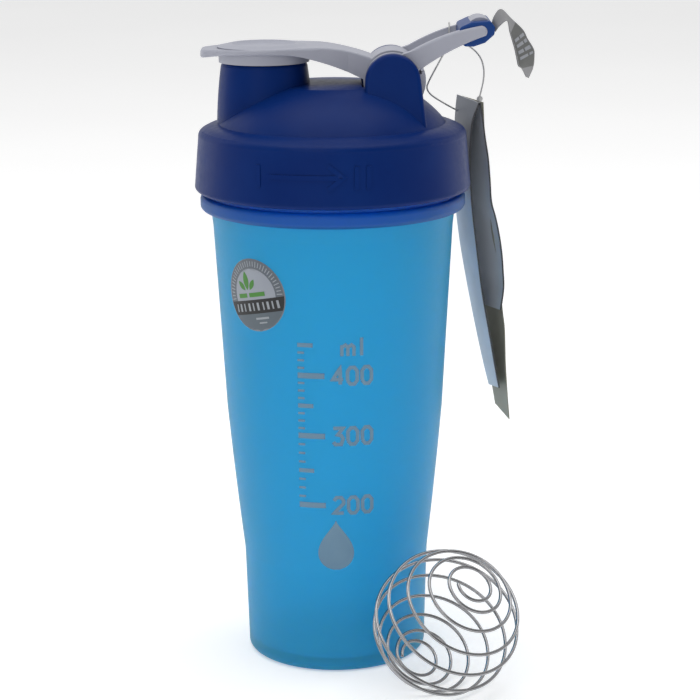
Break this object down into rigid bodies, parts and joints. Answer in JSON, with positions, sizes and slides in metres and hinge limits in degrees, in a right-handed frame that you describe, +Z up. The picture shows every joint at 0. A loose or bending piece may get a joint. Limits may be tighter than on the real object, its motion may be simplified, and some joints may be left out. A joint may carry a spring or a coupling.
{
  "type": "protein shaker bottle",
  "caption": "Shaker bottle with a screw lid, spout under a hinged flip cap, a hinged carry loop, a loose wire whisk ball and a hang tag.",
  "frame": {"origin": "centre of the bottle's foot, on the plane it stands on", "axes": "+Z up along the bottle's axis, -X towards the spout, +X towards the hinge and the carry loop"},
  "size_m": [0.1209, 0.1268, 0.233],
  "materials": {
    "bottle_plastic": "translucent, fine satin",
    "lid_plastic": "satin",
    "seal_rubber": "matte",
    "pin_steel": "turned",
    "grey_plastic": "satin",
    "grip_plastic": "satin",
    "wire_steel": "polished wire",
    "sticker_foil": "metallised film",
    "tag_card": "coated card",
    "clear_nylon": "clear",
    "flag_paper": "coated paper"
  },
  "bodies": {
    "bottle": {"bottle": "bottle_plastic", "round_sticker": "sticker_foil"},
    "seal_ring": {"lid_seal": "seal_rubber"},
    "lid": {"lid": "lid_plastic", "hinge_pin": "pin_steel"},
    "cap": {"flip_cap": "grey_plastic"},
    "loop": {"carry_loop": "grey_plastic", "loop_end_grip": "grip_plastic", "flag_tag": "flag_paper"},
    "tag": {"hang_tag": "tag_card", "tag_fastener": "clear_nylon", "fastener_bead": "clear_nylon"},
    "ball": {"whisk_ball": "wire_steel"}
  },
  "joints": [
    {"name": "lid_rise", "type": "slide", "parent": "bottle", "child": "seal_ring", "axis": [0, 0, 1], "range_m": [0, 0.00751]},
    {"name": "lid_turn", "type": "hinge", "parent": "seal_ring", "child": "lid", "pos_m": [0, 0, 0.18], "axis": [0, 0, 1], "range_deg": [0, 450]},
    {"name": "cap_hinge", "type": "hinge", "parent": "lid", "child": "cap", "pos_m": [0.0212, 0, 0.2108], "axis": [0, 1, 0], "range_deg": [0, 98]},
    {"name": "loop_hinge", "type": "hinge", "parent": "lid", "child": "loop", "pos_m": [0.0212, 0, 0.2108], "axis": [0, 1, 0], "range_deg": [-2, 15]},
    {"name": "tag_swing", "type": "hinge", "parent": "loop", "child": "tag", "pos_m": [0.0425, 0, 0.2225], "axis": [0, 1, 0], "range_deg": [-15.5, 2.5]},
    {"name": "whisk_ball_lift", "type": "slide", "parent": "bottle", "child": "ball", "axis": [0.1031, -0.1397, 0.9848], "range_m": [0, 0.15]}
  ],
  "couplings": [
    {"joint": "lid_rise", "follows": "lid_turn", "m_per_rad": 0.00095493},
    {"joint": "tag_swing", "follows": "loop_hinge", "ratio": -1}
  ]
}
